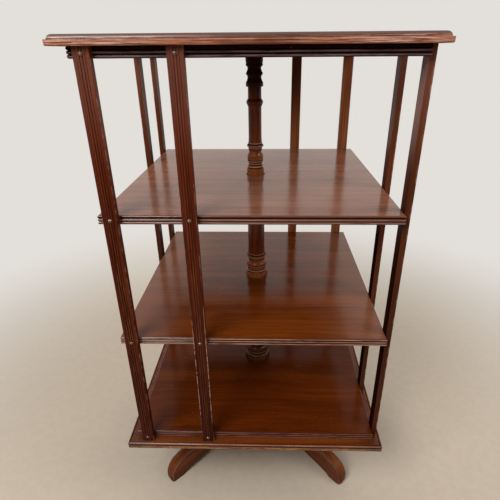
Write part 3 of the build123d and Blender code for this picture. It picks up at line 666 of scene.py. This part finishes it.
def paint_boards():
    paint("top_board", top_material())
    # The frieze's near-black tones are painted shade with dirt, and its pale crests painted
    # highlights.
    paint("frieze_board", reeded_board_material(
        "frieze_mahogany", "frieze_board", SHADE_AND_DIRT_MAHOGANY, seed=4.2, dirt_and_shade=0.5, wear=0.8,
        rubbed_and_lit=PALE_CREST, sheen=0.3))
    paint("upper_shelf", reeded_board_material(
        "upper_shelf_mahogany", "upper_shelf", UPPER_MAHOGANY, seed=1.7, rubbed_and_lit=PINK_WOOD,
        joint=-0.098, polish=0.12, sheen=0.38))
    paint("middle_shelf", reeded_board_material(
        "middle_shelf_mahogany", "middle_shelf", SHELF_MAHOGANY, seed=2.9, wear=0.8,
        first_valley=0.0006, rubbed_and_lit_from=0.0004, dusty=0.16, polish=0.12, sheen=0.42))
    paint("bottom_shelf", reeded_board_material(
        "bottom_shelf_mahogany", "bottom_shelf", BOTTOM_MAHOGANY, seed=7.4, dirt_and_shade=0.55, wear=0.5,
        rubbed_and_lit=RUBBED_AND_LIT_EDGE, first_valley=0.0006, rubbed_and_lit_from=0.0004, polish=0.12, sheen=0.25))
    paint("base_board", base_board_material())


def paint_slats():
    seed = 10
    for side in ("front", "right", "back", "left"):
        for place in ("corner", "inner"):
            node = f"{side}_{place}_slat"
            across_x = side in ("front", "back")
            paint(node, slat_material(node, across_x, seed, **SLAT_LOOKS.get(node, {})))
            seed += 1


def paint_base():
    paint("column", column_material())
    paint("hub", Mahogany("hub_mahogany", RED_MAHOGANY, UPRIGHT_GRAIN, seed=6.4, sheen=0.3,
                          glancing=0.4).finish())
    for seed, (corner, turn) in enumerate(LEG_TURNS.items(), start=20):
        paint(f"{corner}_leg", leg_material(f"{corner}_leg_mahogany", math.radians(turn), seed))


def paint_metal():
    for metal, nodes in METAL_NODES.items():
        material = metal_material(metal)
        for node in nodes:
            paint(node, material)


# Stage
def stage_material():
    """Pale floor that keeps shadows and goes over into an evenly pale backdrop further out.

    The polish mirrors the pale backdrop behind the object, and a plainly lit room before it."""
    surface = Surface("stage", Roughness=0.9, Specular_IOR_Level=0.1)
    where = surface.where()
    speckle = surface.noise(where, scale=40.0, detail=5.0, roughness=0.7)
    speckle_colour = tuple(SPECKLE_SHARE * part for part in FLOOR_COLOUR)
    surface.shade(Base_Color=surface.mix(surface.rise(speckle, 0.3, 0.7), FLOOR_COLOUR,
                                         speckle_colour))
    glow = surface.add("ShaderNodeEmission", {"Color": (*BACKDROP_COLOUR, 1), "Strength": 1.0})
    distance = surface.add("ShaderNodeVectorMath", {0: where}, operation="LENGTH").outputs["Value"]
    ray = surface.add("ShaderNodeLightPath").outputs
    _, y, _ = surface.place()
    mirrored = surface.times(ray["Is Glossy Ray"], surface.rise(y, *MIRRORED_DEPTH))
    seen = surface.math("MAXIMUM", ray["Is Camera Ray"], mirrored)
    share = surface.times(surface.rise(distance, *GLOW), seen)
    blend = surface.add("ShaderNodeMixShader",
                        {0: share, 1: surface.shader.outputs[0], 2: glow.outputs[0]})
    surface.tree.links.new(blend.outputs[0], surface.output.inputs["Surface"])
    return surface.material


def make_stage():
    """A round floor that curves up into a backdrop on every side."""
    profile = [(0, 0), (MIDDLE_RING, 0), (FLOOR_RADIUS, 0)]
    for i in range(1, COVE_STEPS + 1):
        turn = math.pi / 2 * i / COVE_STEPS
        profile.append((FLOOR_RADIUS + COVE_RADIUS * math.sin(turn),
                        COVE_RADIUS * (1 - math.cos(turn))))
    profile.append((FLOOR_RADIUS + COVE_RADIUS, BACKDROP_HEIGHT))
    mesh = bmesh.new()
    points = [mesh.verts.new((radius, 0, height)) for radius, height in profile]
    edges = [mesh.edges.new(pair) for pair in zip(points, points[1:])]
    bmesh.ops.spin(mesh, geom=points + edges, cent=(0, 0, 0), axis=(0, 0, 1), angle=2 * math.pi,
                   steps=ROUND_STEPS, use_merge=True)
    bmesh.ops.remove_doubles(mesh, verts=mesh.verts, dist=1e-5)
    bmesh.ops.recalc_face_normals(mesh, faces=mesh.faces)
    data = bpy.data.meshes.new("stage")
    mesh.to_mesh(data)
    mesh.free()
    for face in data.polygons:
        face.use_smooth = True
    stage = bpy.data.objects.new("stage", data)
    bpy.context.scene.collection.objects.link(stage)
    data.materials.append(stage_material())


# Light
def light_sky():
    """An even sky lights the scene, and the camera sees the backdrop's colour in its place."""
    world = bpy.data.worlds.new("sky")
    bpy.context.scene.world = world
    world.use_nodes = True
    tree = world.node_tree
    tree.nodes.clear()
    sky = tree.nodes.new("ShaderNodeBackground")
    sky.inputs["Color"].default_value = (*SKY_COLOUR, 1)
    sky.inputs["Strength"].default_value = SKY_STRENGTH
    backdrop = tree.nodes.new("ShaderNodeBackground")
    backdrop.inputs["Color"].default_value = (*BACKDROP_COLOUR, 1)
    seen = tree.nodes.new("ShaderNodeLightPath").outputs["Is Camera Ray"]
    blend = tree.nodes.new("ShaderNodeMixShader")
    output = tree.nodes.new("ShaderNodeOutputWorld")
    for source, socket in ((seen, 0), (sky.outputs[0], 1), (backdrop.outputs[0], 2)):
        tree.links.new(source, blend.inputs[socket])
    tree.links.new(blend.outputs[0], output.inputs["Surface"])


def hang_softbox(name, place, aim, size, power, mirrored):
    lamp = bpy.data.lights.new(name, "AREA")
    lamp.shape = "RECTANGLE"
    lamp.size, lamp.size_y = size
    lamp.energy = power
    box = bpy.data.objects.new(name, lamp)
    bpy.context.scene.collection.objects.link(box)
    box.visible_glossy = mirrored
    box.location = place
    box.rotation_mode = "QUATERNION"
    box.rotation_quaternion = (Vector(aim) - Vector(place)).to_track_quat("-Z", "Y")


place_camera()
make_stage()
light_sky()
for box_name, settings in SOFTBOXES.items():
    hang_softbox(box_name, *settings)
paint_boards()
paint_slats()
paint_base()
paint_metal()

bpy.context.scene.view_settings.view_transform = "Standard"
